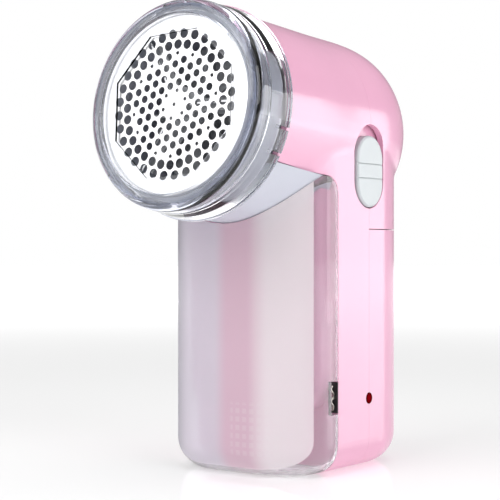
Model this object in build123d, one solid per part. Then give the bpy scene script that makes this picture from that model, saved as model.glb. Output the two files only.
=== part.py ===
from build123d import *
import os
from math import cos, pi, radians, sin

# A hand-held fabric shaver that stands on its base.
# Millimetres, +Z up, shaving head towards -Y, switch on the +X side.
# The origin is the centre of the bounding box's bottom face.

# Shaving head. Its axis tips up towards the front; heights along it are
# measured from the foil's front face, positive towards the front.
FOIL_Y = -51.6
FOIL_Z = 113.5
HEAD_TILT = 6.5
FOIL_RADIUS = 27.6
FOIL_THICKNESS = 0.35
HOLE_PITCH = 3.4
HOLE_TURN = 10.8
SMALL_HOLE = 1.2
MEDIUM_HOLE = 2.35
LARGE_HOLE = 2.95
LARGE_PER_RING = 32
LARGE_RING_RADII = (18.2, 21.4)
CAP_RADIUS = 32.1
CAP_FRONT = 2.0
PLATE_FRONT = 1.2
PLATE_BACK = 0.4
PLATE_HOLE_RADIUS = 23.5
PLATE_HOLE_TURN = 26.0
PLATE_HOLE_SIDES = 8
RING_REAR_RADIUS = 33.3
RING_REAR = 13.6
RING_BORE = 30.4
BARREL_RADIUS = 32.0
TAB_COUNT = 3
TAB_ANGLE = -18.5
TAB_HALF_ANGLE = 6.7
TWIST = 18.0

# Drive, along the head's axis
SHAFT_RADIUS = 1.0
RUNNING_GAP = 0.05
BLADE_COUNT = 3
BLADE_TIP = 25.4
FAN_RADIUS = 21.5
FAN_VANES = 8
CHAMBER_BORE = 27.4
TUBE_RADIUS = 28.6
TUBE_TAPER = 26.0
TUBE_REAR_RADIUS = 26.8
TUBE_REAR_BORE = 25.6
CHAMBER_RADIUS = 31.7
CHAMBER_WALL_FRONT = 40.0
CHAMBER_WALL_REAR = 42.0
OUTLET_FRONT = 30.5
OUTLET_REAR = 39.0
OUTLET_WIDTH = 26.0
MOTOR_RADIUS = 12.0
MOTOR_FRONT = 44.0
MOTOR_REAR = 70.0
MOUNT_DEPTH = 14.0
MOTOR_SCREW_REACH = 7.0
MOTOR_SCREW_RADIUS = 7.5

# Housing
WALL = 2.0
HALF_WIDTH = 28.8
HEAD_HALF_WIDTH = 29.3
HEAD_HALF_HEIGHT = 31.5
HEAD_CENTRE_Z = 109.6
HEAD_SLOPE = 0.0385
TAIL_Y = 23.0
TAIL_LENGTH = 33.9
TAIL_TURNS = (0, 18, 35, 50, 63, 74, 82, 87.5)
BARREL_FRONT_Y = -46.0
BARREL_STATIONS = 5
SEAM_Y = -6.3
PARTING_Y = 12.0
BACK_Y = 48.2
BACK_RADIUS = 28.0
COVER_TOP_Z = 77.0
BASE_RADIUS = 10.0
WAIST_RADIUS = 12.0
SHELL_GAP = 0.3
PARTING_GAP = 0.06
LOWER_TOP_Z = 108.0

# Lint bin, and the pad on the housing that plugs its open back
BIN_FRONT_Y = -27.1
BIN_FRONT_RADIUS = 20.0
BIN_WALL = 1.8
BIN_GAP = 0.3
PAD_Y = -13.6
PAD_HALF_WIDTH = 25.5
PAD_EDGE = 2.5
PAD_BOTTOM_Z = 19.5
PAD_CORNER = 9.0
PAD_RIBS_Z = (64.4, 68.0, 71.6)
CLIP_SLOT = (-9.9, 19.3, 29.6)
PINK_EDGE_BELOW_AXIS = 15.5
PINK_EDGE_RADIUS = 6.0

# Switch
SWITCH_Z = 97.1
RECESS_WIDTH = 17.9
RECESS_HEIGHT = 27.0
SLIDER_WIDTH = 15.4
SLIDER_HEIGHT = 23.0
SLIDER_LOW_Z = 84.0
SLIDER_BAND = 4.6
SLIDER_FACE_X = 29.5

# Power
CELL_RADIUS = 7.2
CELL_LENGTH = 50.0
CELL_X = 7.6
CELL_Y = 20.0
CELL_LOW_Z = 8.8
LAMP_Z = 22.8
LAMP_RADIUS = 1.8
INLET_Y = 33.0
INLET_LENGTH = 13.0
INLET_WIDTH = 8.0
SCREW_PLACES = ((-13.0, 67.0), (13.0, 67.0), (-13.0, 84.5), (13.0, 84.5))
SCREW_BOSS_RADIUS = 4.0
SCREW_HEAD_RADIUS = 2.8
SCREW_RADIUS = 1.45
SCREW_SEAT_Y = 22.0
SCREW_TIP_Y = 2.0

HEAD = Plane(
    origin=(0, FOIL_Y, FOIL_Z),
    x_dir=(1, 0, 0),
    z_dir=(0, -cos(radians(HEAD_TILT)), sin(radians(HEAD_TILT))),
)


def on_head(shape):
    """Place a shape made about Z, with the foil's face at z = 0, on the head's axis."""
    return HEAD.location * shape


def block(x_low, x_high, y_low, y_high, z_low, z_high):
    """A box given by its lowest and highest corners."""
    centre = ((x_low + x_high) / 2, (y_low + y_high) / 2, (z_low + z_high) / 2)
    return Pos(*centre) * Box(x_high - x_low, y_high - y_low, z_high - z_low)


def rod(radius, low, high):
    """A cylinder about Z between two heights."""
    return Pos(0, 0, (low + high) / 2) * Cylinder(radius, high - low)


def tube(inner, outer, low, high):
    """A straight tube about Z between two heights."""
    return rod(outer, low, high) - rod(inner, low - 1, high + 1)


def turned(*points):
    """A solid of revolution about Z from a closed (radius, height) outline."""
    return revolve(make_face(Plane.XZ * Polyline(*points, close=True)), Axis.Z)


def around(shape, count, start=0.0):
    """Copies of a shape, evenly spaced about Z."""
    return [Rot(0, 0, start + index * 360 / count) * shape for index in range(count)]


def along_y(radius, y_low, y_high, x, z):
    """A cylinder along Y."""
    return Pos(x, (y_low + y_high) / 2, z) * Rot(90, 0, 0) * Cylinder(radius, y_high - y_low)


def along_x(radius, x_low, x_high, y, z):
    """A cylinder along X."""
    return Pos((x_low + x_high) / 2, y, z) * Rot(0, 90, 0) * Cylinder(radius, x_high - x_low)


def upright_oval(width, height, x_low, x_high, y, z_low):
    """A plate with rounded ends, standing in the YZ plane."""
    outline = Plane.YZ * Pos(y, z_low + height / 2) * Rot(0, 0, 90) * SlotOverall(height, width)
    return Pos(x_low, 0, 0) * extrude(outline, x_high - x_low)


# ---------------------------------------------------------------- outer forms


def head_form(inset):
    """The barrel behind the ring and its domed tail, shrunk by inset."""
    half_width = HEAD_HALF_WIDTH - inset
    half_height = HEAD_HALF_HEIGHT - inset
    wider = BARREL_RADIUS - HEAD_HALF_WIDTH
    taller = BARREL_RADIUS - HEAD_HALF_HEIGHT
    stations = []
    for step in range(BARREL_STATIONS):
        share = step / BARREL_STATIONS
        swell = (1 + cos(pi * share)) / 2
        y = BARREL_FRONT_Y + (TAIL_Y - BARREL_FRONT_Y) * share
        stations.append((y, half_width + wider * swell, half_height + taller * swell))
    for turn in TAIL_TURNS:
        factor = cos(radians(turn))
        y = TAIL_Y + (TAIL_LENGTH - inset) * sin(radians(turn))
        stations.append((y, half_width * factor, half_height * factor))
    sections = []
    for y, wide, tall in stations:
        centre_z = HEAD_CENTRE_Z + max(0.0, TAIL_Y - y) * HEAD_SLOPE
        plane = Plane(origin=(0, y, centre_z), x_dir=(1, 0, 0), z_dir=(0, -1, 0))
        sections.append(plane.location * Ellipse(wide, tall).face())
    behind_ring = on_head(rod(60, -120, -RING_REAR - BIN_GAP))
    return loft(sections) & behind_ring


def plan_outline(inset):
    """The plan of the bin and the handle together, shrunk by inset."""
    depth = BACK_Y - BIN_FRONT_Y - 2 * inset
    outline = Pos(0, (BACK_Y + BIN_FRONT_Y) / 2) * Rectangle(2 * (HALF_WIDTH - inset), depth)
    outline = fillet(outline.vertices().group_by(Axis.Y)[0], BIN_FRONT_RADIUS - inset)
    return fillet(outline.vertices().group_by(Axis.Y)[-1], BACK_RADIUS - inset)


def lower_form(inset, top_z):
    """The block of the bin and the handle together, with its rounded bottom edge."""
    form = Pos(0, 0, inset) * extrude(plan_outline(inset), top_z - inset)
    return fillet(form.edges().group_by(Axis.Z)[0], BASE_RADIUS - inset)


def handle_form(inset):
    """The part of the lower block behind the bin's seam."""
    return lower_form(inset, LOWER_TOP_Z) & block(-50, 50, SEAM_Y + inset, 90, -1, 200)


def pad_form(inset):
    """The plug on the housing's front that fills the bin's open back."""
    width = PAD_HALF_WIDTH - inset
    slab = block(-width, width, PAD_Y + inset, SEAM_Y + WALL + 0.5, PAD_BOTTOM_Z + inset, 96)
    low_edges = slab.edges().filter_by(Axis.Y).group_by(Axis.Z)[0]
    slab = fillet(low_edges, PAD_CORNER - inset)
    front_face = slab.faces().sort_by(Axis.Y)[0]
    slab = fillet(front_face.edges().filter_by(Axis.X, reverse=True), PAD_EDGE - inset)
    return slab - on_head(rod(CHAMBER_RADIUS + BIN_GAP + inset, -80, 0))


def under_barrel(inset=0.0):
    """The space below the pink barrel's lower edge, in front of the seam, shrunk by inset."""
    space = on_head(Pos(0, -PINK_EDGE_BELOW_AXIS - inset - 75, -40) * Box(90, 150, 110))
    space &= block(-45, 45, -90, SEAM_Y - inset, -2, 140)
    corner = space.edges().filter_by(Axis.X).sort_by_distance((0, SEAM_Y, 93))[0]
    return fillet(corner, PINK_EDGE_RADIUS - inset)


def housing_shell():
    """The closed pink shell, before it is parted into its pieces."""
    outer = head_form(0) + lower_form(0, LOWER_TOP_Z)
    creases = [
        edge
        for edge in outer.edges()
        if edge.geom_type == GeomType.BSPLINE and edge.center().Y > -20 and 85 < edge.center().Z < 108
    ]
    outer = fillet(creases, WAIST_RADIUS)
    outer -= under_barrel()
    outer += pad_form(0)
    return outer - head_form(WALL) - handle_form(WALL) - pad_form(WALL)


# ---------------------------------------------------------------- shaving head


def guard_cap():
    """The clear cap: a rounded bead, a short skirt and a plate with an eight-sided hole."""
    bead_inner = 27.0
    skirt_inner = 30.2
    profile = make_face(
        Plane.XZ
        * Polyline(
            (10, PLATE_BACK),
            (skirt_inner, PLATE_BACK),
            (skirt_inner, -4.3),
            (CAP_RADIUS, -4.3),
            (CAP_RADIUS, CAP_FRONT),
            (bead_inner, CAP_FRONT),
            (bead_inner, PLATE_FRONT),
            (10, PLATE_FRONT),
            close=True,
        )
    )
    outer_corner = profile.vertices().sort_by_distance((CAP_RADIUS, 0, CAP_FRONT))[0]
    profile = fillet(outer_corner, 3.0)
    inner_corner = profile.vertices().sort_by_distance((bead_inner, 0, CAP_FRONT))[0]
    profile = fillet(inner_corner, 0.7)
    cap = revolve(profile, Axis.Z)
    hole = Rot(0, 0, PLATE_HOLE_TURN) * RegularPolygon(PLATE_HOLE_RADIUS, PLATE_HOLE_SIDES)
    return on_head(cap - Pos(0, 0, -1) * extrude(hole, 4))


def head_ring():
    """The clear twist ring: nose, web, flared skirt, rear flange and three lugged tabs."""
    ring = turned(
        (27.9, -0.6), (30.0, -0.6), (30.0, -4.5), (32.2, -4.5), (33.0, -12.4), (RING_REAR_RADIUS, -12.7),
        (RING_REAR_RADIUS, -RING_REAR), (RING_BORE, -RING_REAR), (RING_BORE, -5.7), (28.9, -5.7),
        (28.9, -1.4), (27.9, -1.4),
    )
    slot = Pos(RING_BORE + 1.5, 0, -RING_REAR + 1.9) * Box(6, 0.9, 4.4)
    for side in (-1, 1):
        for cut in around(slot, TAB_COUNT, TAB_ANGLE + side * TAB_HALF_ANGLE):
            ring -= cut
    wedge = Pos(30, 0, -12.7) * Box(8, 5.6, 1.2)
    for lug in around(wedge & tube(29.3, RING_BORE + 0.2, -13.3, -12.1), TAB_COUNT, TAB_ANGLE):
        ring += lug
    return on_head(ring)


def hole_places():
    """Radius, place and diameter of every hole in the foil."""
    turn = radians(HOLE_TURN)
    places = [(0.0, 0.0, SMALL_HOLE)]
    for step in range(6):
        angle = turn + step * pi / 3
        radius = 1.25 * HOLE_PITCH
        places.append((radius * sin(angle), radius * cos(angle), SMALL_HOLE))
        corner = (sin(angle), cos(angle))
        following = (sin(angle + pi / 3), cos(angle + pi / 3))
        for ring in (2, 3, 4, 5):
            for index in range(ring):
                if ring == 5 and index == 0:
                    continue
                size = SMALL_HOLE if ring == 5 and index in (1, 4) else MEDIUM_HOLE
                x = HOLE_PITCH * (corner[0] * (ring - index) + following[0] * index)
                y = HOLE_PITCH * (corner[1] * (ring - index) + following[1] * index)
                places.append((x, y, size))
    for row, radius in enumerate(LARGE_RING_RADII):
        for index in range(LARGE_PER_RING):
            angle = turn + (index + row / 2) * 2 * pi / LARGE_PER_RING
            places.append((radius * sin(angle), radius * cos(angle), LARGE_HOLE))
    return places


def foil():
    """The steel shaving foil with its holes."""
    sheet = Circle(FOIL_RADIUS)
    holes = [Pos(x, y) * Circle(size / 2) for x, y, size in hole_places()]
    return on_head(Pos(0, 0, -FOIL_THICKNESS) * extrude(sheet - holes, FOIL_THICKNESS))


def foil_frame():
    """The ring that holds the foil's edge from behind."""
    return on_head(
        turned((26.5, -0.35), (27.7, -0.35), (27.7, -1.6), (28.7, -1.6), (28.7, -5.4), (26.5, -5.4))
    )


def cutter_blades():
    """Steel blades that run just behind the foil."""
    blade = Pos((BLADE_TIP + 5) / 2, 0, -2.0) * Box(BLADE_TIP - 5, 0.7, 2.8)
    return Part() + [on_head(one) for one in around(blade, BLADE_COUNT)]


def cutter_hub():
    """The carrier of the blades: three arms on a boss."""
    hub = rod(6.0, -9.0, -3.0)
    for arm in around(Pos(11.5, 0, -4.9) * Box(21.0, 4.0, 3.0), BLADE_COUNT):
        hub += arm
    hub -= rod(SHAFT_RADIUS, -10, 0)
    for blade in around(Pos((BLADE_TIP + 5) / 2, 0, -2.0) * Box(BLADE_TIP - 5, 0.7, 2.8), BLADE_COUNT):
        hub -= blade
    return on_head(hub)


def cutter_spring():
    """The coil spring behind the hub."""
    path = Helix(pitch=1.1, height=3.3, radius=3.4)
    wire = Plane(origin=path @ 0, z_dir=path % 0) * Circle(0.3)
    return on_head(Pos(0, 0, -12.7) * sweep(wire, path=path, is_frenet=True))


def suction_fan():
    """The fan behind the cutter that throws lint down into the bin."""
    fan = rod(4.6, -19.0, -13.2) + rod(FAN_RADIUS, -19.0, -18.0)
    for vane in around(Pos(12.6, 0, -16.0) * Box(17.0, 1.2, 4.2), FAN_VANES):
        fan += vane
    return on_head(fan - rod(SHAFT_RADIUS, -20, 0))


def motor_shaft():
    """The steel shaft from the motor to the cutter."""
    return on_head(rod(SHAFT_RADIUS, -MOTOR_REAR + 2, -3.2))


def shaft_bearing():
    """The bush in the chamber's rear wall."""
    low = -CHAMBER_WALL_REAR - 0.6
    return on_head(tube(SHAFT_RADIUS + RUNNING_GAP, 3.0, low, -CHAMBER_WALL_FRONT + 0.6))


def motor_screws(radius_growth=0.0):
    """Two screws through the chamber's rear wall into the motor's front."""
    screw = rod(1.9, -CHAMBER_WALL_FRONT, -CHAMBER_WALL_FRONT + 1.4)
    tip = -CHAMBER_WALL_FRONT - MOTOR_SCREW_REACH
    screw += rod(0.95 + radius_growth, tip, -CHAMBER_WALL_FRONT)
    pair = around(Pos(MOTOR_SCREW_RADIUS, 0, 0) * screw, 2)
    return Part() + [on_head(one) for one in pair]


def cutter_chamber():
    """The lint chamber: bayonet spigot, tube, rear wall and the pale belly under the barrel."""
    spigot = turned(
        (CHAMBER_BORE, -5.9), (30.1, -5.9), (30.1, -11.8), (28.9, -11.8), (28.9, -14.0), (TUBE_RADIUS, -14.0),
        (TUBE_RADIUS, -TUBE_TAPER), (TUBE_REAR_RADIUS, -CHAMBER_WALL_REAR),
        (TUBE_REAR_BORE, -CHAMBER_WALL_REAR), (CHAMBER_BORE, -TUBE_TAPER),
    )
    entry = Pos(30.2, 0, -9.0) * Box(2.6, 7.0, 8.0)
    for cut in around(entry, TAB_COUNT, TAB_ANGLE + TWIST):
        spigot -= cut
    belly_form = turned(
        (TUBE_RADIUS - 0.2, -RING_REAR - 0.6), (CHAMBER_RADIUS, -RING_REAR - 0.6), (CHAMBER_RADIUS, -70),
        (TUBE_REAR_RADIUS - 0.2, -70), (TUBE_REAR_RADIUS - 0.2, -CHAMBER_WALL_REAR),
        (TUBE_RADIUS - 0.2, -TUBE_TAPER),
    )
    belly = on_head(belly_form) & under_barrel(0.25)
    rear_wall = tube(3.0, TUBE_REAR_BORE + 0.6, -CHAMBER_WALL_REAR, -CHAMBER_WALL_FRONT)
    chamber = on_head(spigot) + belly + on_head(rear_wall)
    half_width = OUTLET_WIDTH / 2
    chamber -= on_head(block(-half_width, half_width, -45, -15, -OUTLET_REAR, -OUTLET_FRONT))
    return chamber - motor_screws(0.05)


def motor_mount():
    """The cup that holds the motor behind the chamber."""
    cup = tube(MOTOR_RADIUS, 14.0, -CHAMBER_WALL_REAR - MOUNT_DEPTH, -CHAMBER_WALL_REAR)
    cup += tube(3.2, 25.0, -MOTOR_FRONT, -CHAMBER_WALL_REAR)
    return on_head(cup) - motor_screws(0.05)


def motor_can():
    """The motor's steel can."""
    can = rod(MOTOR_RADIUS, -MOTOR_REAR, -MOTOR_FRONT)
    can -= rod(SHAFT_RADIUS + RUNNING_GAP, -MOTOR_REAR - 1, 0)
    return on_head(can) - motor_screws()


def motor_end_cap():
    """The motor's plastic end cap with its two terminals."""
    cap = rod(11.4, -MOTOR_REAR - 3.5, -MOTOR_REAR)
    for x in (-5.0, 5.0):
        cap += Pos(x, 4, -MOTOR_REAR - 5.5) * Box(2.2, 0.5, 4.6)
    return on_head(cap)


# ---------------------------------------------------------------- housing


def screw_hole(x, z, radius):
    """The shank's hole of one housing screw."""
    return along_y(radius, SCREW_TIP_Y - 0.5, SCREW_SEAT_Y + 1, x, z)


def rear_bosses(low_z, high_z):
    """Bosses and counterbores of the rear pieces between two heights, and their bores."""
    posts = Part()
    bores = Part()
    for x, z in SCREW_PLACES:
        if low_z < z < high_z:
            posts += along_y(SCREW_BOSS_RADIUS, PARTING_Y + SHELL_GAP, 60, x, z)
            bores += along_y(SCREW_HEAD_RADIUS + 0.3, SCREW_SEAT_Y, 70, x, z)
            bores += screw_hole(x, z, SCREW_RADIUS + 0.1)
    return posts, bores


def rear_piece(shell, low_z, high_z, lamp_hole):
    """The shell behind the parting line between two heights, with its screw bosses."""
    space = block(-50, 50, PARTING_Y + PARTING_GAP / 2, 90, low_z, high_z)
    posts, bores = rear_bosses(low_z, high_z)
    posts &= head_form(1.0) + handle_form(1.0)
    return (shell & space) + (posts & space) - bores - lamp_hole


def front_shell(shell, lamp_hole):
    """The front half of the housing: barrel, handle sides, pad and screw posts."""
    piece = shell & block(-50, 50, -90, PARTING_Y - PARTING_GAP / 2, -1, 200)
    inner_space = handle_form(1.0) + pad_form(1.0)
    for x, z in SCREW_PLACES:
        post = along_y(SCREW_BOSS_RADIUS - 0.4, PAD_Y, PARTING_Y - SHELL_GAP, x, z)
        piece += post & inner_space
        piece -= screw_hole(x, z, SCREW_RADIUS)
    for z in PAD_RIBS_Z:
        piece += block(-20, 20, PAD_Y - 0.5, PAD_Y + 0.5, z - 0.7, z + 0.7)
    return piece - lamp_hole


def housing_screws():
    """Four screws that join the rear pieces to the front shell."""
    screws = Part()
    for x, z in SCREW_PLACES:
        screws += along_y(SCREW_HEAD_RADIUS, SCREW_SEAT_Y, SCREW_SEAT_Y + 2.0, x, z)
        screws += along_y(SCREW_RADIUS, SCREW_TIP_Y, SCREW_SEAT_Y, x, z)
        screws -= Pos(x, SCREW_SEAT_Y + 1.6, z) * Box(3.6, 1.2, 0.9)
        screws -= Pos(x, SCREW_SEAT_Y + 1.6, z) * Box(0.9, 1.2, 3.6)
    return screws


def recess_cut():
    """The oval opening of the switch through the housing's side."""
    low_z = SWITCH_Z - RECESS_HEIGHT / 2
    return upright_oval(RECESS_WIDTH, RECESS_HEIGHT, 24.0, 40.0, PARTING_Y, low_z)


def switch_plate():
    """The plate behind the recess, with the slot that the slider's stem runs in."""
    low_z = SWITCH_Z - RECESS_HEIGHT / 2 - 1.5
    plate = upright_oval(RECESS_WIDTH + 3, RECESS_HEIGHT + 3, 25.1, 26.6, PARTING_Y, low_z)
    return plate - block(20, 30, PARTING_Y - 2.4, PARTING_Y + 2.4, 91.2, 103.4)


def switch_slider():
    """The white slide button: two crowned pads, a lower band between them, and the stem."""
    middle = SLIDER_LOW_Z + SLIDER_HEIGHT / 2
    body = upright_oval(SLIDER_WIDTH, SLIDER_HEIGHT, 26.9, SLIDER_FACE_X, PARTING_Y, SLIDER_LOW_Z)
    body = fillet(body.faces().sort_by(Axis.X)[-1].edges(), 0.8)
    for z in (middle - SLIDER_BAND / 2, middle + SLIDER_BAND / 2):
        body -= block(SLIDER_FACE_X - 0.5, 40, 0, 30, z - 0.2, z + 0.2)
    return body + block(23.2, 27.0, PARTING_Y - 2.0, PARTING_Y + 2.0, middle - 2.5, middle + 2.5)


def slide_switch():
    """The electrical switch that the stem works."""
    return block(16.5, 23.0, PARTING_Y - 4.5, PARTING_Y + 4.5, 91.0, 102.0)


def lint_bin():
    """The open-backed bin, cut to sit under the chamber."""
    rear_y = SEAM_Y - 0.15
    outer = lower_form(0, LOWER_TOP_Z) & block(-50, 50, -90, rear_y, -1, 200)
    body = outer - lower_form(BIN_WALL, LOWER_TOP_Z + 1)
    body -= on_head(rod(CHAMBER_RADIUS + BIN_GAP, -90, 5))
    body &= under_barrel(0.25)
    slot_y, slot_low, slot_high = CLIP_SLOT
    return body - block(-50, 50, slot_y, 0, slot_low, slot_high)


def bin_clips():
    """Wavy steel clips beside the seam that the bin's slots snap over."""
    thickness = 0.4
    steps = 24
    front = []
    back = []
    for step in range(steps + 1):
        share = step / steps
        y = SEAM_Y - 1.8 + 0.75 * sin(share * 4 * pi)
        z = 20.6 + 7.6 * share
        front.append((y - thickness / 2, z))
        back.append((y + thickness / 2, z))
    leaf = make_face(Plane.YZ * Polyline(*front, *reversed(back), close=True))
    anchor = block(26.2, 27.8, SEAM_Y - 1.6, SEAM_Y, 24.0, 24.8)
    clip = Pos(27.0, 0, 0) * extrude(leaf, 0.9, both=True) + anchor
    return clip + mirror(clip, Plane.YZ)


# ---------------------------------------------------------------- power


def battery_cells():
    """Two cells side by side, each with its contact nub."""
    cells = Part()
    for x in (-CELL_X, CELL_X):
        cells += Pos(x, CELL_Y, CELL_LOW_Z) * rod(CELL_RADIUS, 0, CELL_LENGTH - 1)
        cells += Pos(x, CELL_Y, CELL_LOW_Z) * rod(2.6, CELL_LENGTH - 1, CELL_LENGTH)
    return cells


def battery_tray():
    """The tray that holds the cells off the floor and the front wall."""
    top_z = CELL_LOW_Z + CELL_LENGTH + 0.4
    tray = block(-16, 16, CELL_Y - 9.2, CELL_Y - 7.4, 6.5, top_z + 1.6)
    tray += block(-16, 16, CELL_Y - 9.2, CELL_Y + 7.0, 6.5, CELL_LOW_Z - 0.4)
    tray += block(-16, 16, CELL_Y - 9.2, CELL_Y + 7.0, top_z, top_z + 1.6)
    for x in (-12, 12):
        tray += block(x - 2, x + 2, CELL_Y - 5, CELL_Y + 5, WALL, 6.5)
    return tray


def battery_straps():
    """Nickel straps at the cells' ends."""
    top_z = CELL_LOW_Z + CELL_LENGTH
    straps = block(-12, 12, CELL_Y - 3, CELL_Y + 3, CELL_LOW_Z - 0.3, CELL_LOW_Z)
    for x in (-CELL_X, CELL_X):
        straps += block(x - 3, x + 3, CELL_Y - 3, CELL_Y + 3, top_z, top_z + 0.3)
    return straps


def circuit_board():
    """The charging board behind the housing's front wall."""
    return block(-15, 15, SEAM_Y + 4.0, SEAM_Y + 5.6, 14, 60)


def led_lamp(growth=0.0):
    """The charging lamp on the parting line, with its flange inside the wall."""
    lamp = along_x(LAMP_RADIUS + growth, 25.5, HALF_WIDTH + 0.1 + 10 * growth, PARTING_Y, LAMP_Z)
    if growth == 0.0:
        lamp += along_x(2.4, 24.5, 25.5, PARTING_Y, LAMP_Z)
        for y in (PARTING_Y - 1.2, PARTING_Y + 1.2):
            lamp += along_x(0.25, 20.0, 24.6, y, LAMP_Z)
    return lamp


def inlet_form(growth, low_z, high_z):
    """The inlet's oval, grown by a clearance."""
    outline = SlotOverall(INLET_LENGTH + 2 * growth, INLET_WIDTH + 2 * growth)
    return Pos(0, INLET_Y, low_z) * extrude(outline, high_z - low_z)


def charge_inlet():
    """The socket in the base, open downwards, with its flange on the floor."""
    socket = inlet_form(0, 0.6, 13) - inlet_form(-1.2, -1, 11)
    socket += inlet_form(2.0, WALL + 0.05, WALL + 1.4) - inlet_form(-0.5, 0, 5)
    return socket


def inlet_pins():
    """The two contact pins inside the inlet."""
    pins = Part()
    for x in (-2.6, 2.6):
        pins += Pos(x, INLET_Y, 0) * rod(0.8, 3.0, 11.0)
    return pins


def lead(points, radius):
    """A wire along straight runs with large tangent arcs."""
    runs = []
    for index in range(len(points) - 1):
        runs.append((Vector(*points[index + 1]) - Vector(*points[index])).length)
    bends = []
    for index in range(1, len(points) - 1):
        before = Vector(*points[index]) - Vector(*points[index - 1])
        after = Vector(*points[index + 1]) - Vector(*points[index])
        half_turn = radians(before.get_angle(after) / 2)
        bends.append(0.45 * min(runs[index - 1], runs[index]) * cos(half_turn) / sin(half_turn))
    path = FilletPolyline(*points, radius=bends)
    return sweep(Plane(origin=path @ 0, z_dir=path % 0) * Circle(radius), path=path)


def motor_lead(side):
    """The wire from the board to one of the motor's terminals."""
    end = (HEAD.location * Pos(side * 5.0, 4, -MOTOR_REAR - 8.6)).position
    points = [
        (side * 6.0, SEAM_Y + 4.8, 60.7),
        (side * 6.2, SEAM_Y + 6.0, 70.0),
        (side * 6.6, 4.5, 79.0),
        (side * 6.2, 13.0, 86.5),
        (end.X, end.Y + 1.5, 95.5),
        (end.X, end.Y, end.Z),
    ]
    return lead(points, 0.6)


def build():
    """Every node of the shaver by name."""
    shell = housing_shell() - recess_cut()
    lamp_hole = led_lamp(0.08)
    rear_cover = rear_piece(shell, -1, COVER_TOP_Z - SHELL_GAP / 2, lamp_hole)
    rear_cover -= inlet_form(0.1, -1, WALL + 1)
    return {
        "guard_cap": guard_cap(),
        "head_ring": head_ring(),
        "foil": foil(),
        "foil_frame": foil_frame(),
        "cutter_blades": cutter_blades(),
        "cutter_hub": cutter_hub(),
        "cutter_spring": cutter_spring(),
        "suction_fan": suction_fan(),
        "motor_shaft": motor_shaft(),
        "shaft_bearing": shaft_bearing(),
        "cutter_chamber": cutter_chamber(),
        "motor_screws": motor_screws(),
        "motor_mount": motor_mount(),
        "motor_can": motor_can(),
        "motor_end_cap": motor_end_cap(),
        "front_shell": front_shell(shell, lamp_hole),
        "rear_shell": rear_piece(shell, COVER_TOP_Z + SHELL_GAP / 2, 200, lamp_hole),
        "rear_cover": rear_cover,
        "housing_screws": housing_screws(),
        "switch_plate": switch_plate(),
        "switch_slider": switch_slider(),
        "slide_switch": slide_switch(),
        "lint_bin": lint_bin(),
        "bin_clips": bin_clips(),
        "battery_cells": battery_cells(),
        "battery_tray": battery_tray(),
        "battery_straps": battery_straps(),
        "circuit_board": circuit_board(),
        "led_lamp": led_lamp(),
        "charge_inlet": charge_inlet(),
        "inlet_pins": inlet_pins(),
        "lead_red": motor_lead(1),
        "lead_black": motor_lead(-1),
    }


os.makedirs("parts", exist_ok=True)
for name, solid in build().items():
    export_step(solid, f"parts/{name}.step")
    print(name, round(solid.volume, 1), len(solid.solids()))
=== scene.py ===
"""Looks of a hand-held fabric shaver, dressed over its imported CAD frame.

Metres, +Z up, shaving head towards -Y, switch on the +X side.
"""

import logging
import math
from dataclasses import dataclass
from enum import Enum
from typing import Any, Sequence, Union

import bpy
from mathutils import Matrix, Vector


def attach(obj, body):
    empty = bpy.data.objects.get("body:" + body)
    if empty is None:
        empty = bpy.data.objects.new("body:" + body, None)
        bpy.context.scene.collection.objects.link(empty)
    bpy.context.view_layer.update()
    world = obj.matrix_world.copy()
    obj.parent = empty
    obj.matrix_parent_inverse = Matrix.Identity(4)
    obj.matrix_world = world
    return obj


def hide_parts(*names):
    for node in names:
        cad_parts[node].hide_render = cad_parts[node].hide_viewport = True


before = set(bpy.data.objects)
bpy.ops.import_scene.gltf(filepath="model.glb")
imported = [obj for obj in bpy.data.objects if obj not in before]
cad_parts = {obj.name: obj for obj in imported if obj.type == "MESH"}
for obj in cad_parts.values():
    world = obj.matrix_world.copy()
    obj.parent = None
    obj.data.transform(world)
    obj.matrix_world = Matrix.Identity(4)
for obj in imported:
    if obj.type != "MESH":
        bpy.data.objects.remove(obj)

LOG = logging.getLogger("shaver")
MM = 0.001
CRISP_ANGLE = math.radians(35.0)

Colour = tuple[float, float, float]
Point = tuple[float, float, float]
Span = tuple[float, float]

HEAD_TILT = math.radians(6.5)
HEAD_ORIGIN = Vector((0.0, -51.6 * MM, 113.5 * MM))
HEAD_SIN = math.sin(HEAD_TILT)
HEAD_COS = math.cos(HEAD_TILT)
HEAD_PLACE = Matrix(
    (
        (1.0, 0.0, 0.0, HEAD_ORIGIN.x),
        (0.0, HEAD_SIN, -HEAD_COS, HEAD_ORIGIN.y),
        (0.0, HEAD_COS, HEAD_SIN, HEAD_ORIGIN.z),
        (0.0, 0.0, 0.0, 1.0),
    )
)
ALONG_Y = Matrix.Rotation(math.radians(90.0), 4, "X")
TOWARDS_BACK = Matrix(((-1, 0, 0, 0), (0, 0, 1, 0), (0, 1, 0, 0), (0, 0, 0, 1)))


# ---- node trees


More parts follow.
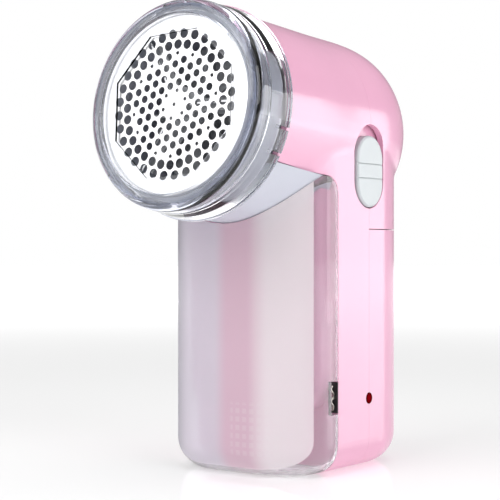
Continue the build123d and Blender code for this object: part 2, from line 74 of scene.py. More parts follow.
class Graph:
    """A node tree that grows one node at a time."""

    def __init__(self, tree: bpy.types.NodeTree) -> None:
        """Keep the tree."""
        self.tree = tree

    def feed(self, inlet: bpy.types.NodeSocket, value: Any) -> None:
        """Link or set an input; a node stands for its first output."""
        if isinstance(value, Signal):
            value = value.socket
        elif isinstance(value, bpy.types.Node):
            value = value.outputs[0]
        if isinstance(value, bpy.types.NodeSocket):
            self.tree.links.new(value, inlet)
        else:
            inlet.default_value = value

    def node(
        self,
        kind: str,
        settings: dict[str, Any] | None = None,
        sockets: dict[str | int, Any] | None = None,
    ) -> bpy.types.Node:
        """Add one node.

        Args:
            kind: The node's type.
            settings: Its properties, set before its sockets.
            sockets: What to feed to its inputs, by name or number; a list is
                fed one by one.

        Returns:
            The new node.
        """
        made = self.tree.nodes.new(kind)
        for name, value in (settings or {}).items():
            setattr(made, name, value)
        for key, value in (sockets or {}).items():
            for one in value if isinstance(value, list) else [value]:
                self.feed(made.inputs[key], one)
        return made


class Signal:
    """A shader socket that takes part in arithmetic."""

    def __init__(self, graph: "ShaderGraph", socket: bpy.types.NodeSocket) -> None:
        """Keep the socket and the graph that its maths nodes join."""
        self.graph = graph
        self.socket = socket

    def _math(self, operation: str, first: Any, second: Any = 0.0) -> "Signal":
        """Add one Math node on two values or signals."""
        settings = {"operation": operation}
        node = self.graph.node("ShaderNodeMath", settings, {0: first, 1: second})
        return Signal(self.graph, node.outputs[0])

    def __add__(self, other: "Value") -> "Signal":
        """Sum."""
        return self._math("ADD", self, other)

    __radd__ = __add__

    def __sub__(self, other: "Value") -> "Signal":
        """Difference."""
        return self._math("SUBTRACT", self, other)

    def __rsub__(self, other: "Value") -> "Signal":
        """Difference, the other way round."""
        return self._math("SUBTRACT", other, self)

    def __mul__(self, other: "Value") -> "Signal":
        """Product."""
        return self._math("MULTIPLY", self, other)

    __rmul__ = __mul__

    def __truediv__(self, other: "Value") -> "Signal":
        """Quotient."""
        return self._math("DIVIDE", self, other)

    def __pow__(self, other: "Value") -> "Signal":
        """Power."""
        return self._math("POWER", self, other)

    def __abs__(self) -> "Signal":
        """Size without its sign."""
        return self._math("ABSOLUTE", self)

    def root(self) -> "Signal":
        """Square root."""
        return self._math("SQRT", self)

    def at_least(self, low: float) -> "Signal":
        """The larger of this and a number."""
        return self._math("MAXIMUM", self, low)

    def cycle(self, length: float) -> "Signal":
        """What is left past each whole multiple of a length."""
        return self._math("FLOORED_MODULO", self, length)

    def zigzag(self, pitch: float) -> "Signal":
        """Fall from 0.5 to 0 and rise again over each pitch, which is in millimetres."""
        return abs((self / (pitch * MM)).cycle(1.0) - 0.5)

    def rise(self, span: Span) -> "Signal":
        """Rise smoothly from 0 to 1 over a span in millimetres."""
        return self.step(span[0] * MM, span[1] * MM)

    def step(self, low: float, high: float) -> "Signal":
        """Rise smoothly from 0 at the first value to 1 at the second."""
        node = self.graph.node(
            "ShaderNodeMapRange",
            {"interpolation_type": "SMOOTHSTEP"},
            {"Value": self, "From Min": low, "From Max": high, "To Min": 0.0, "To Max": 1.0},
        )
        return Signal(self.graph, node.outputs["Result"])


Value = Union[Signal, float]


class ShaderGraph(Graph):
    """One material's or world's nodes."""

    def __init__(self, tree: bpy.types.NodeTree) -> None:
        """Start from an empty tree."""
        super().__init__(tree)
        tree.nodes.clear()

    def place(self) -> tuple[Signal, Signal, Signal]:
        """Object coordinates in metres, as three signals."""
        source = self.node("ShaderNodeTexCoord")
        parts = self.node("ShaderNodeSeparateXYZ", None, {0: source.outputs["Object"]})
        return tuple(Signal(self, parts.outputs[axis]) for axis in range(3))

    def head_place(self) -> tuple[Signal, Signal, Signal]:
        """Object coordinates turned to the shaving head's axis, which becomes Z."""
        x, y, z = self.place()
        back = y - HEAD_ORIGIN.y
        up = z - HEAD_ORIGIN.z
        return x, back * HEAD_SIN + up * HEAD_COS, up * HEAD_SIN - back * HEAD_COS

    def noise(self, scale: float, detail: float = 2.0) -> Signal:
        """Seamless noise on object coordinates.

        Args:
            scale: Cells to the metre.
            detail: Octaves.

        Returns:
            The noise, about 0.5 on average.
        """
        source = self.node("ShaderNodeTexCoord")
        made = self.node(
            "ShaderNodeTexNoise",
            None,
            {"Vector": source.outputs["Object"], "Scale": scale, "Detail": detail},
        )
        return Signal(self, made.outputs["Fac"])

    def mix(self, factor: Value, first: Any, second: Any) -> bpy.types.NodeSocket:
        """Blend two colours.

        Args:
            factor: 0 for the first and 1 for the second.
            first: A colour or a colour socket.
            second: A colour or a colour socket.

        Returns:
            The blended colour's socket.
        """
        made = self.node("ShaderNodeMix", {"data_type": "RGBA"}, {0: factor})
        for inlet, value in zip((made.inputs[6], made.inputs[7]), (first, second)):
            plain = not isinstance(value, bpy.types.NodeSocket)
            self.feed(inlet, (*value, 1.0) if plain else value)
        return made.outputs[2]

    def bump(self, height: Signal, distance: float) -> bpy.types.Node:
        """Turn a height into a normal; the distance is what 1 stands for, in metres."""
        sockets = {"Height": height, "Distance": distance, "Strength": 1.0}
        return self.node("ShaderNodeBump", None, sockets)

    def principled(self, **sockets: Any) -> bpy.types.Node:
        """Add a Principled shader, its inputs named with underscores for spaces."""
        named = {key.replace("_", " "): value for key, value in sockets.items()}
        return self.node("ShaderNodeBsdfPrincipled", None, named)

    def output(self, shader: bpy.types.Node) -> None:
        """Add the material's output."""
        self.node("ShaderNodeOutputMaterial", None, {"Surface": shader})

    def surface(self, **sockets: Any) -> None:
        """Add a Principled shader and the material's output."""
        self.output(self.principled(**sockets))


def distance(first: Signal, second: Signal) -> Signal:
    """How far two coordinates are from nought together."""
    return (first**2 + second**2).root()


def new_material(name: str) -> tuple[bpy.types.Material, ShaderGraph]:
    """A new material and its empty graph."""
    material = bpy.data.materials.new(name)
    material.use_nodes = True
    return material, ShaderGraph(material.node_tree)


# ---- finishes


@dataclass(frozen=True)
class Finish:
    """A named look that paints a material's graph."""

    name: str

    def paint(self, graph: ShaderGraph) -> None:
        """Add the finish's nodes."""
        raise NotImplementedError

    def material(self) -> bpy.types.Material:
        """Make the material."""
        made, graph = new_material(self.name)
        self.paint(graph)
        return made


@dataclass(frozen=True)
class Plastic(Finish):
    """Opaque moulded plastic with a faint unevenness."""

    colour: Colour
    shade: Colour
    roughness: float = 0.25
    grain: float = 0.0
    cloud_scale: float = 35.0
    fine_scale: float = 2600.0
    unevenness: float = 0.05

    def paint(self, graph: ShaderGraph) -> None:
        """Add the finish's nodes."""
        cloud = graph.noise(self.cloud_scale)
        fine = graph.noise(self.fine_scale)
        sockets: dict[str, Any] = {
            "Base_Color": graph.mix(cloud.step(0.25, 0.8), self.colour, self.shade),
            "Roughness": self.roughness + (fine - 0.5) * self.unevenness,
            "IOR": 1.48,
        }
        if self.grain:
            sockets["Normal"] = graph.bump(fine, self.grain)
        graph.surface(**sockets)


@dataclass(frozen=True)
class ClearPlastic(Finish):
    """Clear moulded plastic, with painted shade on the thick bead at the cap's edge: a darker tint
    that stands in for the bead's dark refracted edge.
    """

    colour: Colour
    # Painted shade for the bead's dark edge.
    painted_bead_shade: Colour
    bead_radius: float = 29.0
    bead_back: float = -1.0
    roughness: float = 0.02

    def paint(self, graph: ShaderGraph) -> None:
        """Add the finish's nodes."""
        x, y, z = graph.head_place()
        radius = distance(x, y)
        outside = radius.step(self.bead_radius * MM, (self.bead_radius + 1.0) * MM)
        # Painted shade: the cap's outer bead is tinted darker.
        bead = outside * z.step((self.bead_back - 0.5) * MM, self.bead_back * MM)
        graph.surface(
            Base_Color=graph.mix(bead, self.colour, self.painted_bead_shade),
            Roughness=self.roughness + graph.noise(60.0) * 0.01,
            IOR=1.5,
            Transmission_Weight=1.0,
        )


@dataclass(frozen=True)
class FrostedBin(Finish):
    """Milky clear plastic with painted light and shade from side to side, and a polished rim."""

    # Painted light and shade across the bin: a dark left edge, a lavender-grey shaded side, a pink
    # band that stands in for the pad seen through the wall, and a pale lit right side.
    painted_edge_shade: Colour = (0.10, 0.10, 0.16)
    painted_shade_colour: Colour = (0.80, 0.74, 0.84)
    painted_pad_colour: Colour = (0.84, 0.60, 0.71)
    painted_light_colour: Colour = (1.0, 0.93, 0.965)
    glass_colour: Colour = (0.97, 0.95, 0.985)
    milk: float = 0.52
    frost: float = 0.12
    ior: float = 1.42
    rim_y: float = -16.7
    rim_z: float = 2.4
    corner: float = 10.0
    mark_pitch: float = 2.6
    mark_strength: float = 0.16
    mark_edge: Span = (0.16, 0.24)
    # Where the painted shade, the painted pad band and the painted light come in across the bin, in
    # millimetres.
    painted_shade_span: Span = (-29.0, -15.0)
    painted_pad_span: Span = (-4.5, 1.5)
    painted_light_span: Span = (8.0, 16.0)
    patch_left: Span = (2.0, 3.0)
    patch_right: Span = (20.0, 21.0)
    patch_low: Span = (6.0, 7.0)
    patch_high: Span = (22.5, 24.0)
    rim_clearness: float = 0.85

    def painted_light_and_shade(self, graph: ShaderGraph, x: Signal, z: Signal) -> bpy.types.NodeSocket:
        """The milky layer's colour across the bin: painted shade to the left with a dark edge, a
        painted pink band for the pad behind, painted light to the right, and a patch of small
        squares blended towards white.

        Args:
            graph: The material's graph.
            x: The place across the bin, in metres.
            z: The height, in metres.

        Returns:
            The colour's socket.
        """
        # Painted shade: dark at the left edge, lavender grey beyond it.
        shaded_side = graph.mix(x.rise(self.painted_shade_span), self.painted_edge_shade, self.painted_shade_colour)
        # A painted pink band that stands in for the pad seen through the wall.
        pad_seen = graph.mix(x.rise(self.painted_pad_span), shaded_side, self.painted_pad_colour)
        # Painted light: paler to the right, as if lit from that side.
        pale = graph.mix(x.rise(self.painted_light_span), pad_seen, self.painted_light_colour)
        across, up = x.zigzag(self.mark_pitch), z.zigzag(self.mark_pitch)
        squares = across.step(*self.mark_edge) * up.step(*self.mark_edge)
        patch = x.rise(self.patch_left) * z.rise(self.patch_low)
        patch = patch * (1 - x.rise(self.patch_right)) * (1 - z.rise(self.patch_high))
        return graph.mix(squares * patch * self.mark_strength, pale, (1.0, 1.0, 1.0))

    def paint(self, graph: ShaderGraph) -> None:
        """Add the finish's nodes."""
        x, y, z = graph.place()
        along = (y - (self.rim_y - self.corner) * MM).at_least(0.0)
        down = ((self.rim_z + self.corner) * MM - z).at_least(0.0)
        reach = distance(along, down)
        rim = reach.step(self.corner * MM, (self.corner + 0.35) * MM)
        grain = graph.noise(2200.0, 3.0)
        milk = graph.principled(
            # The milky layer's base colour carries the painted light and shade.
            Base_Color=self.painted_light_and_shade(graph, x, z),
            Roughness=0.3 + grain * 0.1,
            IOR=self.ior,
        )
        glass = graph.principled(
            Base_Color=(*self.glass_colour, 1.0),
            Roughness=(1 - rim) * (self.frost + grain * 0.06) + 0.03,
            IOR=self.ior,
            Transmission_Weight=1.0,
        )
        clearness = 1 - self.milk * (1 - rim * self.rim_clearness)
        mixed = graph.node("ShaderNodeMixShader", None, {0: clearness, 1: milk, 2: glass})
        graph.output(mixed)


@dataclass(frozen=True)
class Metal(Finish):
    """Bare or plated metal with a faint unevenness."""

    colour: Colour
    roughness: float = 0.3
    unevenness: float = 0.05

    def paint(self, graph: ShaderGraph) -> None:
        """Add the finish's nodes."""
        fine = graph.noise(900.0, 3.0)
        cloud = graph.noise(50.0)
        graph.surface(
            Base_Color=graph.mix(cloud, self.colour, tuple(c * 0.9 for c in self.colour)),
            Roughness=self.roughness + (fine - 0.5) * self.unevenness,
            Metallic=1.0,
        )


@dataclass(frozen=True)
class FoilSteel(Finish):
    """Bright foil steel with a faint turned finish round the head's axis."""

    colour: Colour
    groove_pitch: float = 0.9
    roughness: float = 0.3

    def paint(self, graph: ShaderGraph) -> None:
        """Add the finish's nodes."""
        x, y, _ = graph.head_place()
        radius = distance(x, y)
        rings = radius.zigzag(self.groove_pitch)
        graph.surface(
            Base_Color=graph.mix(rings * 0.2, self.colour, tuple(c * 0.9 for c in self.colour)),
            Roughness=self.roughness + rings * 0.05,
            Metallic=1.0,
        )


@dataclass(frozen=True)
class LampLens(Finish):
    """A small red lens that glows faintly from inside."""

    colour: Colour
    middle_y: float = 12.0
    middle_z: float = 22.8
    core_radius: float = 1.8
    glow: float = 0.25

    def paint(self, graph: ShaderGraph) -> None:
        """Add the finish's nodes."""
        _, y, z = graph.place()
        off = distance(y - self.middle_y * MM, z - self.middle_z * MM)
        core = 1 - off.step(0.0, self.core_radius * MM)
        graph.surface(
            Base_Color=graph.mix(core, tuple(c * 0.5 for c in self.colour), self.colour),
            Roughness=0.3,
            IOR=1.5,
            Specular_IOR_Level=0.0,
            Emission_Color=graph.mix(core, (0.0, 0.0, 0.0), self.colour),
            Emission_Strength=self.glow,
        )


@dataclass(frozen=True)
class CellSleeve(Finish):
    """The shrink sleeve of a cell: a plain band above a darker body, and a bare metal end."""

    body: Colour
    band: Colour
    band_z: float = 46.0
    end_z: float = 57.75
    end: Colour = (0.7, 0.7, 0.68)

    def paint(self, graph: ShaderGraph) -> None:
        """Add the finish's nodes."""
        _, _, z = graph.place()
        top = z.step(self.band_z * MM, (self.band_z + 0.3) * MM)
        bare = z.step(self.end_z * MM, (self.end_z + 0.1) * MM)
        sleeve = graph.mix(top, self.body, self.band)
        graph.surface(
            Base_Color=graph.mix(bare, sleeve, self.end),
            Metallic=bare,
            Roughness=0.22 + graph.noise(400.0) * 0.06,
        )


@dataclass(frozen=True)
class CircuitBoardFinish(Finish):
    """Solder mask over a grid of tracks."""

    mask: Colour
    track: Colour
    pitch: float = 2.54
    track_edge: Span = (0.07, 0.09)

    def paint(self, graph: ShaderGraph) -> None:
        """Add the finish's nodes."""
        x, _, z = graph.place()
        across, up = x.zigzag(self.pitch), z.zigzag(self.pitch)
        gate = graph.noise(160.0).step(0.48, 0.52)
        upright = 1 - across.step(*self.track_edge)
        level = 1 - up.step(*self.track_edge)
        tracks = upright * gate + level * (1 - gate)
        graph.surface(
            Base_Color=graph.mix(tracks, self.mask, self.track),
            Roughness=0.35 + tracks * 0.1,
        )


class Slot(Enum):
    """The finishes by the material slot that each one serves."""

    # The clear plastic's second colour is painted shade for the cap's bead.
    CLEAR = ClearPlastic("clear_plastic", (0.965, 0.975, 1.0), (0.66, 0.69, 0.80))
    FROSTED = FrostedBin("frosted_plastic")
    PALE = Plastic("pale_plastic", (0.62, 0.64, 0.72), (0.59, 0.61, 0.69), 0.35)
    PINK = Plastic("pink_plastic", (0.89, 0.475, 0.65), (0.88, 0.46, 0.635), 0.16)
    WHITE = Plastic("white_plastic", (0.58, 0.62, 0.64), (0.56, 0.60, 0.62), 0.3)
    GREY = Plastic("grey_plastic", (0.42, 0.43, 0.45), (0.38, 0.39, 0.41), 0.42, 0.00001)
    BLACK = Plastic("black_plastic", (0.02, 0.02, 0.022), (0.03, 0.03, 0.03), 0.4, 0.00001)
    RED_LAMP = LampLens("red_lamp", (0.20, 0.001, 0.004))
    FOIL_STEEL = FoilSteel("foil_steel", (0.93, 0.93, 0.94))
    BLADE_STEEL = Metal("blade_steel", (0.62, 0.63, 0.65), 0.25)
    SPRING_STEEL = Metal("spring_steel", (0.48, 0.44, 0.40), 0.3)
    PLATED_STEEL = Metal("plated_steel", (0.72, 0.73, 0.75), 0.28)
    BRONZE = Metal("bronze", (0.55, 0.36, 0.18), 0.45)
    SLEEVE = CellSleeve("cell_sleeve", (0.05, 0.16, 0.10), (0.72, 0.74, 0.70))
    NICKEL = Metal("nickel", (0.70, 0.67, 0.60), 0.35)
    BOARD = CircuitBoardFinish("board", (0.02, 0.16, 0.06), (0.07, 0.30, 0.12))
    WIRE_RED = Plastic("wire_red", (0.55, 0.02, 0.02), (0.50, 0.02, 0.02), 0.4)
    WIRE_BLACK = Plastic("wire_black", (0.02, 0.02, 0.02), (0.03, 0.03, 0.03), 0.4)


class Paintbox:
    """Makes each finish once and hands it out."""

    def __init__(self) -> None:
        """Start with nothing mixed."""
        self._made: dict[Slot, bpy.types.Material] = {}

    def material(self, slot: Slot) -> bpy.types.Material:
        """The slot's material, made on first use."""
        if slot not in self._made:
            self._made[slot] = slot.value.material()
        return self._made[slot]

    def dress(self, node: str, slot: Slot) -> None:
        """Give a CAD node its finish.

        Args:
            node: The CAD node's name.
            slot: The finish.
        """
        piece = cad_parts[node]
        material = self.material(slot)
        if piece.material_slots:
            for place in piece.material_slots:
                place.material = material
        else:
            piece.data.materials.append(material)
        LOG.info("dressed %s in %s", node, slot.value.name)

    def dress_all(self, finishes: Sequence[tuple[str, Slot]]) -> None:
        """Give several CAD nodes their finishes."""
        for node, slot in finishes:
            self.dress(node, slot)


PAINTS = Paintbox()


# ---- geometry trees


class ShapeTree(Graph):
    """A Geometry Nodes tree with named size inputs, turned into a plain mesh."""

    def __init__(self, name: str, sizes: dict[str, float | int]) -> None:
        """Open a tree.

        Args:
            name: The tree's name.
            sizes: Its named inputs and their values; whole numbers become integer inputs.
        """
        super().__init__(bpy.data.node_groups.new(name, "GeometryNodeTree"))
        face = self.tree.interface
        face.new_socket("Geometry", in_out="INPUT", socket_type="NodeSocketGeometry")
        self.values: dict[str, float | int] = {}
        for label, value in sizes.items():
            kind = "NodeSocketInt" if isinstance(value, int) else "NodeSocketFloat"
            socket = face.new_socket(label, in_out="INPUT", socket_type=kind)
            self.values[socket.identifier] = value
        face.new_socket("Geometry", in_out="OUTPUT", socket_type="NodeSocketGeometry")
        self.inlet = self.node("NodeGroupInput")

    def size(self, label: str) -> bpy.types.NodeSocket:
        """A named input's socket."""
        return self.inlet.outputs[label]

    def math(self, operation: str, first: Any, second: Any = 0.0) -> bpy.types.Node:
        """Add a Math node on two values or sockets."""
        return self.node("ShaderNodeMath", {"operation": operation}, {0: first, 1: second})

    def vector(self, x: Any = 0.0, y: Any = 0.0, z: Any = 0.0) -> bpy.types.Node:
        """Join three values or sockets into a vector."""
        return self.node("ShaderNodeCombineXYZ", None, {0: x, 1: y, 2: z})

    def join(self, *parts: bpy.types.Node) -> bpy.types.Node:
        """Join several geometries."""
        return self.node("GeometryNodeJoinGeometry", None, {0: list(parts)})

    def placed(
        self, part: bpy.types.Node, offset: bpy.types.Node, scale: Point = (1.0, 1.0, 1.0)
    ) -> bpy.types.Node:
        """Scale a geometry and move it by a vector."""
        sockets = {"Geometry": part, "Translation": offset, "Scale": scale}
        return self.node("GeometryNodeTransform", None, sockets)

    def circle(self, sides: Any, radius: Any) -> bpy.types.Node:
        """A circular curve about Z."""
        sockets = {"Resolution": sides, "Radius": radius}
        return self.node("GeometryNodeCurvePrimitiveCircle", {"mode": "RADIUS"}, sockets)

    def cylinder(self, sides: int, radius: Any, depth: Any) -> bpy.types.Node:
        """A cylinder about Z."""
        sockets = {"Vertices": sides, "Radius": radius, "Depth": depth}
        return self.node("GeometryNodeMeshCylinder", None, sockets)

    def block(self, x: Any, y: Any, z: Any) -> bpy.types.Node:
        """A box of three sizes."""
        return self.node("GeometryNodeMeshCube", None, {"Size": self.vector(x, y, z)})

    def number(self, label: str) -> bpy.types.Node:
        """A number that each starting point carries."""
        settings = {"data_type": "FLOAT"}
        return self.node("GeometryNodeInputNamedAttribute", settings, {"Name": label})

    def copies(
        self, part: bpy.types.Node, points: bpy.types.Node | None = None, **more: Any
    ) -> bpy.types.Node:
        """Instance a geometry.

        Args:
            part: The geometry.
            points: Where, if not on the points of the starting mesh.
            **more: The instances' Rotation or Scale.

        Returns:
            The instances.
        """
        spots = self.size("Geometry") if points is None else points
        sockets = {"Points": spots, "Instance": part, **more}
        return self.node("GeometryNodeInstanceOnPoints", None, sockets)

    def ring(self, part: bpy.types.Node, count: Any) -> bpy.types.Node:
        """Instance a geometry evenly about Z.

        Args:
            part: The geometry, already set off from the axis.
            count: How many, as a number or a socket.

        Returns:
            The instances.
        """
        points = self.node("GeometryNodePoints", None, {"Count": count})
        index = self.node("GeometryNodeInputIndex")
        turn = self.math("DIVIDE", self.math("MULTIPLY", index, math.tau), count)
        return self.copies(part, points, Rotation=self.vector(z=turn))

    def piece(
        self,
        name: str,
        result: bpy.types.Node,
        slot: Slot,
        body: str,
        nodes: Sequence[str] = (),
        place: Matrix | None = None,
        start: bpy.types.Mesh | None = None,
    ) -> bpy.types.Object:
        """Close the tree, run it and hand over its plain mesh.

        Args:
            name: The piece's name.
            result: The tree's last geometry node.
            slot: The finish.
            body: The CAD body that it rides on.
            nodes: The CAD nodes that it stands for.
            place: Where the finished mesh goes.
            start: The mesh that the tree starts from, if it needs one.

        Returns:
            The piece's object.
        """
        material = PAINTS.material(slot)
        real = self.node("GeometryNodeRealizeInstances", None, {0: result})
        sockets = {"Geometry": real, "Material": material}
        painted = self.node("GeometryNodeSetMaterial", None, sockets)
        self.node("NodeGroupOutput", None, {0: painted})
        made = bpy.data.objects.new(name, start or bpy.data.meshes.new(name))
        bpy.context.scene.collection.objects.link(made)
        modifier = made.modifiers.new(self.tree.name, "NODES")
        modifier.node_group = self.tree
        for identifier, value in self.values.items():
            modifier[identifier] = value
        graph = bpy.context.evaluated_depsgraph_get()
        mesh = bpy.data.meshes.new_from_object(made.evaluated_get(graph), depsgraph=graph)
        made.modifiers.remove(modifier)
        made.data = mesh
        mesh.materials.clear()
        mesh.materials.append(material)
        if place is not None:
            mesh.transform(place)
        mesh.shade_smooth()
        mesh.set_sharp_from_angle(angle=CRISP_ANGLE)
        if nodes:
            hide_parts(*nodes)
        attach(made, body)
        LOG.info("built %s: %d faces", name, len(mesh.polygons))
        return made


def point_mesh(name: str, points: Sequence[Point], **numbers: Sequence[float]) -> bpy.types.Mesh:
    """Loose points with named numbers on them.

    Args:
        name: The mesh's name.
        points: Their places.
        **numbers: One number for each point, by attribute name.

    Returns:
        The mesh.
    """
    mesh = bpy.data.meshes.new(name)
    mesh.from_pydata([Vector(point) for point in points], [], [])
    for label, values in numbers.items():
        attribute = mesh.attributes.new(label, "FLOAT", "POINT")
        attribute.data.foreach_set("value", list(values))
    return mesh


# ---- sub-assemblies


@dataclass
class ShavingHead:
    """The clear cap and ring over the perforated foil."""

    foil_radius: float = 27.55
    foil_thickness: float = 0.2
    pitch: float = 3.4
    turn: float = 10.8
    small: float = 1.2
    medium: float = 2.35
    large: float = 2.95
    large_rings: tuple[float, ...] = (18.2, 21.4)
    large_count: int = 32
    hole_sides: int = 20
    edge_sides: int = 128
    ridge_sides: int = 12
    ridge_radius: float = 16.35
    ridge_half_width: float = 0.3
    ridge_flatness: float = 0.45
    near_ring: float = 1.25
    outer_ring: int = 5
    weld: float = 0.001

    def holes(self) -> list[tuple[float, float, float]]:
        """Every hole's place and diameter on the foil, in millimetres."""
        start = math.radians(self.turn)
        found = [(0.0, 0.0, self.small)]
        for side in range(6):
            angle = start + side * math.pi / 3
            near = self.near_ring * self.pitch
            found.append((near * math.sin(angle), near * math.cos(angle), self.small))
            corner = Vector((math.sin(angle), math.cos(angle)))
            following = Vector((math.sin(angle + math.pi / 3), math.cos(angle + math.pi / 3)))
            for ring in range(2, self.outer_ring + 1):
                for index in range(ring):
                    outer = ring == self.outer_ring
                    if outer and index == 0:
                        continue
                    size = self.small if outer and index in (1, ring - 1) else self.medium
                    spot = (corner * (ring - index) + following * index) * self.pitch
                    found.append((spot.x, spot.y, size))
        for row, radius in enumerate(self.large_rings):
            for index in range(self.large_count):
                angle = start + (index + row / 2) * math.tau / self.large_count
                found.append((radius * math.sin(angle), radius * math.cos(angle), self.large))
        return found

    def build_foil(self) -> None:
        """Cut the holes out of the foil's disc, thicken it and add its round ridge."""
        tree = ShapeTree(
            "foil_holes",
            {
                "Disc Radius": self.foil_radius * MM,
                "Thickness": self.foil_thickness * MM,
                "Hole Sides": self.hole_sides,
                "Edge Sides": self.edge_sides,
                "Ridge Radius": self.ridge_radius * MM,
                "Ridge Half Width": self.ridge_half_width * MM,
            },
        )
        hole = tree.circle(tree.size("Hole Sides"), 1.0)
        holes = tree.copies(hole, Scale=tree.number("hole_radius"))
        edge = tree.circle(tree.size("Edge Sides"), tree.size("Disc Radius"))
        outline = tree.node("GeometryNodeRealizeInstances", None, {0: tree.join(edge, holes)})
        sheet = tree.node("GeometryNodeFillCurve", None, {"Curve": outline})
        walls = tree.node(
            "GeometryNodeExtrudeMesh",
            {"mode": "FACES"},
            {"Mesh": sheet, "Offset Scale": tree.size("Thickness"), "Individual": False},
        )
        back = tree.node("GeometryNodeFlipFaces", None, {"Mesh": sheet})
        closed = tree.node(
            "GeometryNodeMergeByDistance",
            None,
            {"Geometry": tree.join(walls, back), "Distance": self.weld * MM},
        )
        path = tree.circle(tree.size("Edge Sides"), tree.size("Ridge Radius"))
        profile = tree.circle(self.ridge_sides, tree.size("Ridge Half Width"))
        ridge = tree.node(
            "GeometryNodeCurveToMesh", None, {"Curve": path, "Profile Curve": profile}
        )
        lift = tree.vector(z=tree.size("Thickness"))
        ridge = tree.placed(ridge, lift, (1.0, 1.0, self.ridge_flatness))
        spots = self.holes()
        start = point_mesh(
            "foil_hole_places",
            [(x * MM, y * MM, 0.0) for x, y, _ in spots],
            hole_radius=[size_mm / 2 * MM for _, _, size_mm in spots],
        )
        place = HEAD_PLACE @ Matrix.Translation((0, 0, -self.foil_thickness * MM))
        solid = tree.join(closed, ridge)
        tree.piece(
            "shaving_foil", solid, Slot.FOIL_STEEL, "head_ring", ("foil",), place, start
        )

    def build(self) -> None:
        """Build the foil and dress the rest of the head."""
        self.build_foil()
        PAINTS.dress("guard_cap", Slot.CLEAR)
        PAINTS.dress("head_ring", Slot.CLEAR)
        PAINTS.dress("foil_frame", Slot.PALE)


@dataclass
class Cutter:
    """The turning parts behind the foil."""

    blade_count: int = 3
    blade_tip: float = 25.4
    blade_root: float = 5.0
    blade_thickness: float = 0.7
    blade_depth: float = 2.8
    blade_middle: float = -2.0
    blade_edge: float = 0.08
    coil_turns: float = 3.0
    coil_radius: float = 3.4
    coil_height: float = 3.3
    coil_wire: float = 0.3
    coil_base: float = -12.7
    coil_steps: int = 48
    wire_sides: int = 14
    fan_radius: float = 21.5
    fan_thickness: float = 1.0
    fan_middle: float = -18.5
    boss_radius: float = 4.6
    boss_depth: float = 5.8
    boss_middle: float = -16.1
    vane_count: int = 8
    vane_length: float = 17.0
    vane_thickness: float = 1.2
    vane_depth: float = 4.2
    vane_offset: float = 12.6
    vane_middle: float = -16.0

    def build_blades(self) -> None:
        """The steel blades, evenly round the hub."""
        length = self.blade_tip - self.blade_root
        tree = ShapeTree(
            "blade_set",
            {
                "Count": self.blade_count,
                "Length": length * MM,
                "Thickness": self.blade_thickness * MM,
                "Depth": self.blade_depth * MM,
                "Reach": (self.blade_root + length / 2) * MM,
            },
        )
        blade = tree.block(tree.size("Length"), tree.size("Thickness"), tree.size("Depth"))
        blade = tree.placed(blade, tree.vector(tree.size("Reach"), 0.0, self.blade_middle * MM))
        blades = tree.ring(blade, tree.size("Count"))
        made = tree.piece(
            "shear_blades", blades, Slot.BLADE_STEEL, "cutter", ("cutter_blades",), HEAD_PLACE
        )
        edge = made.modifiers.new("honed_edge", "BEVEL")
        edge.width = self.blade_edge * MM
        edge.segments = 2

    def build_coil(self) -> None:
        """The coil spring behind the hub."""
        tree = ShapeTree(
            "coil",
            {
                "Turns": self.coil_turns,
                "Radius": self.coil_radius * MM,
                "Height": self.coil_height * MM,
                "Wire Radius": self.coil_wire * MM,
            },
        )
        path = tree.node(
            "GeometryNodeCurveSpiral",
            None,
            {
                "Resolution": self.coil_steps,
                "Rotations": tree.size("Turns"),
                "Start Radius": tree.size("Radius"),
                "End Radius": tree.size("Radius"),
                "Height": tree.size("Height"),
            },
        )
        wire = tree.circle(self.wire_sides, tree.size("Wire Radius"))
        sockets = {"Curve": path, "Profile Curve": wire, "Fill Caps": True}
        coil = tree.node("GeometryNodeCurveToMesh", None, sockets)
        place = HEAD_PLACE @ Matrix.Translation((0, 0, self.coil_base * MM))
        tree.piece(
            "pressure_coil", coil, Slot.SPRING_STEEL, "cutter", ("cutter_spring",), place
        )

    def build_fan(self) -> None:
        """The fan: a disc, a boss and its vanes."""
        tree = ShapeTree(
            "vane_ring",
            {
                "Vanes": self.vane_count,
                "Vane Length": self.vane_length * MM,
                "Disc Radius": self.fan_radius * MM,
            },
        )
        length = tree.size("Vane Length")
        vane = tree.block(length, self.vane_thickness * MM, self.vane_depth * MM)
        vane = tree.placed(vane, tree.vector(self.vane_offset * MM, 0.0, self.vane_middle * MM))
        disc = tree.cylinder(96, tree.size("Disc Radius"), self.fan_thickness * MM)
        boss = tree.cylinder(48, self.boss_radius * MM, self.boss_depth * MM)
        solid = tree.join(
            tree.placed(disc, tree.vector(z=self.fan_middle * MM)),
            tree.placed(boss, tree.vector(z=self.boss_middle * MM)),
            tree.ring(vane, tree.size("Vanes")),
        )
        tree.piece("lint_fan", solid, Slot.GREY, "cutter", ("suction_fan",), HEAD_PLACE)

    def build(self) -> None:
        """Build the blades, coil and fan, and dress the hub and the shaft."""
        self.build_blades()
        self.build_coil()
        self.build_fan()
        PAINTS.dress("cutter_hub", Slot.GREY)
        PAINTS.dress("motor_shaft", Slot.BLADE_STEEL)


